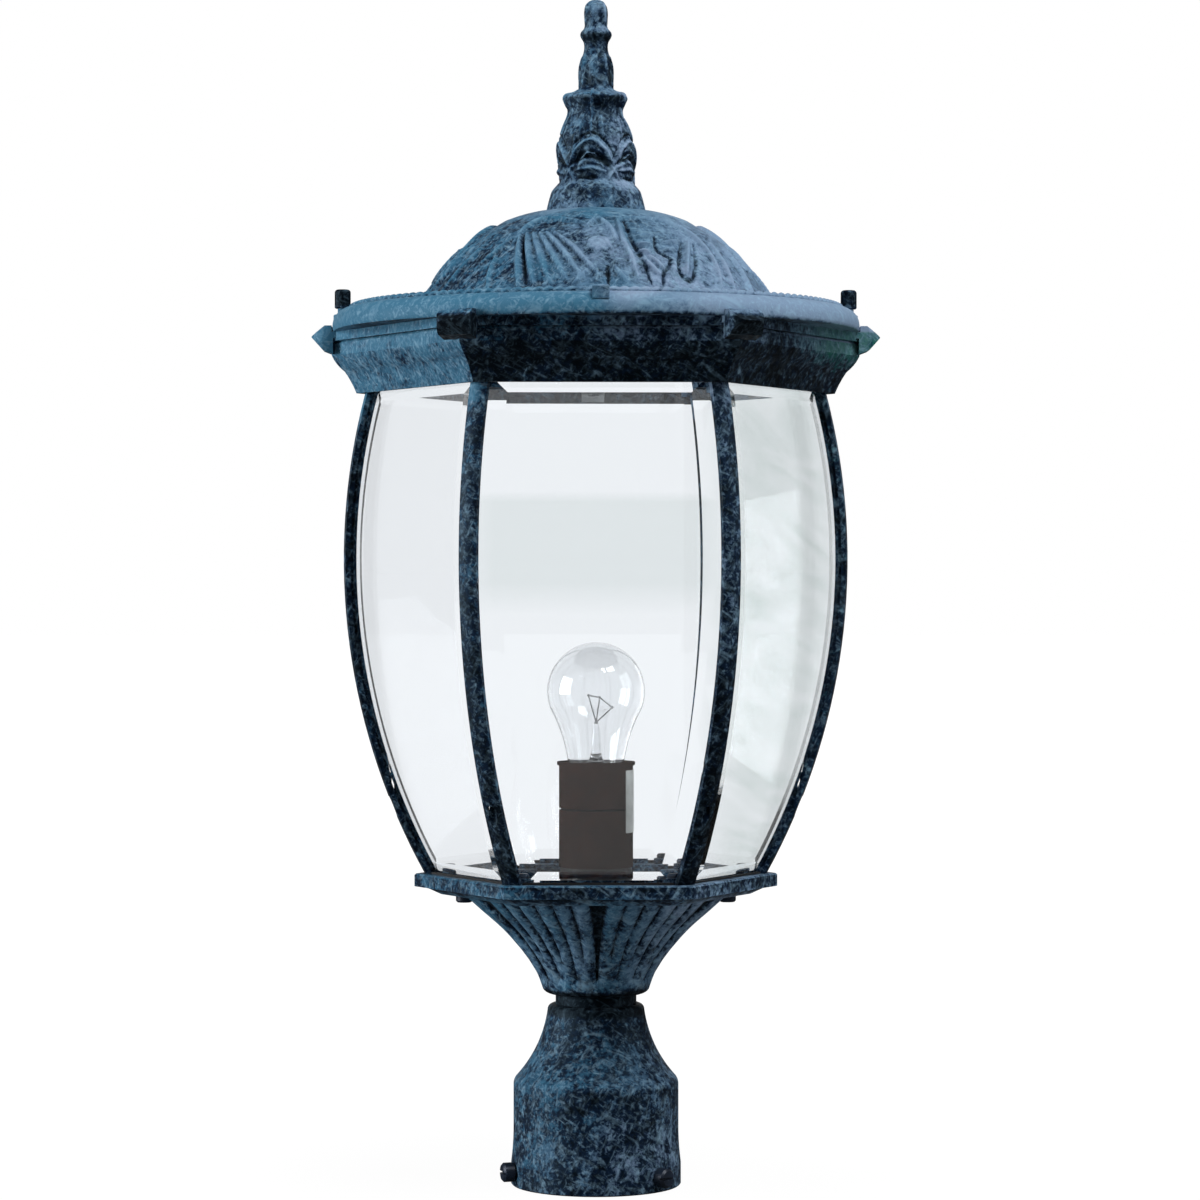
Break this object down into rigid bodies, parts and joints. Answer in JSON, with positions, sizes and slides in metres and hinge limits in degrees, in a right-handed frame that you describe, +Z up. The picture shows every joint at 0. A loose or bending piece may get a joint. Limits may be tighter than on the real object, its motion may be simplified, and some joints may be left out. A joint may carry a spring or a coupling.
{
  "type": "post top lantern",
  "caption": "Six-sided barrel-shaped garden lantern with bevelled bent glass, a domed roof and finial, an urn base and a sleeve that fits over a round post.",
  "frame": {"origin": "centre of the fitter's bottom edge, on the lantern's axis", "axes": "+Z up along the axis, two cage corners on +X and -X, -Y is the front"},
  "size_m": [0.284, 0.2628, 0.5915],
  "materials": {
    "cast_metal": "cast aluminium, blue-black paint with worn verdigris patches",
    "panel_glass": "clear, bevelled",
    "bulb_glass": "clear",
    "dark_steel": "blackened steel",
    "zinc_steel": "zinc plated",
    "seal_rubber": "matt black",
    "holder_black": "black moulded resin",
    "holder_brown": "dark brown, satin",
    "holder_white": "off-white moulded resin",
    "label_paper": "blank, matt",
    "brass": "plain",
    "bulb_cap": "satin",
    "bulb_black": "black glass",
    "lead_wire": "drawn wire"
  },
  "bodies": {
    "cage": {"cage_ring": "cast_metal", "centre_contact": "brass", "centre_stem": "zinc_steel", "clip_screws": "zinc_steel", "contact_shell": "brass", "corner_post_1": "cast_metal", "corner_post_2": "cast_metal", "corner_post_3": "cast_metal", "corner_post_4": "cast_metal", "corner_post_5": "cast_metal", "corner_post_6": "cast_metal", "crown_frame": "cast_metal", "fitter_locknut": "zinc_steel", "fitter_washer": "zinc_steel", "floor_locknut": "zinc_steel", "floor_plate": "zinc_steel", "foot_screws": "dark_steel", "glass_clips": "zinc_steel", "glass_panel_1": "panel_glass", "glass_panel_2": "panel_glass", "glass_panel_3": "panel_glass", "glass_panel_4": "panel_glass", "glass_panel_5": "panel_glass", "glass_panel_6": "panel_glass", "glass_seals": "seal_rubber", "head_screws": "zinc_steel", "holder_cap": "holder_brown", "holder_foot": "holder_black", "holder_insulator": "holder_white", "holder_label": "label_paper", "holder_shell": "holder_brown", "post_fitter": "cast_metal", "ring_screws": "dark_steel", "urn_base": "cast_metal"},
    "roof": {"roof_dome": "cast_metal", "rim_blocks": "cast_metal", "finial_stud": "zinc_steel", "finial_washer": "zinc_steel", "finial_nut": "zinc_steel"},
    "finial": {"finial": "cast_metal"},
    "knob_left": {"knob_left": "cast_metal"},
    "knob_right": {"knob_right": "cast_metal"},
    "bulb": {"bulb_base": "bulb_cap", "bulb_contact": "bulb_cap", "bulb_filament": "lead_wire", "bulb_glass": "bulb_glass", "bulb_insulator": "bulb_black", "bulb_stem": "bulb_glass"},
    "set_screw_1": {"set_screw_1": "dark_steel"},
    "set_screw_2": {"set_screw_2": "dark_steel"},
    "set_screw_3": {"set_screw_3": "dark_steel"}
  },
  "joints": [
    {"name": "roof_lift", "type": "slide", "parent": "cage", "child": "roof", "axis": [0, 0, 1], "range_m": [0, 0.15]},
    {"name": "finial_turn", "type": "hinge", "parent": "roof", "child": "finial", "pos_m": [0, 0, 0.5], "axis": [0, 0, 1], "range_deg": [0, 3600]},
    {"name": "knob_left_turn", "type": "hinge", "parent": "roof", "child": "knob_left", "pos_m": [-0.1265, 0, 0.44], "axis": [0, 0, 1], "range_deg": [0, 2040]},
    {"name": "knob_right_turn", "type": "hinge", "parent": "roof", "child": "knob_right", "pos_m": [0.1265, 0, 0.44], "axis": [0, 0, 1], "range_deg": [0, 2040]},
    {"name": "bulb_turn", "type": "hinge", "parent": "cage", "child": "bulb", "pos_m": [0, 0, 0.22], "axis": [0, 0, 1], "range_deg": [0, 1260]},
    {"name": "set_screw_1_turn", "type": "hinge", "parent": "cage", "child": "set_screw_1", "pos_m": [0.03237, -0.03126, 0.0076], "axis": [0.7193, -0.6947, 0], "range_deg": [0, 1080]},
    {"name": "set_screw_2_turn", "type": "hinge", "parent": "cage", "child": "set_screw_2", "pos_m": [0.01089, 0.04366, 0.0076], "axis": [0.2419, 0.9703, 0], "range_deg": [0, 1080]},
    {"name": "set_screw_3_turn", "type": "hinge", "parent": "cage", "child": "set_screw_3", "pos_m": [-0.04326, -0.0124, 0.0076], "axis": [-0.9613, -0.2756, 0], "range_deg": [0, 1080]}
  ]
}
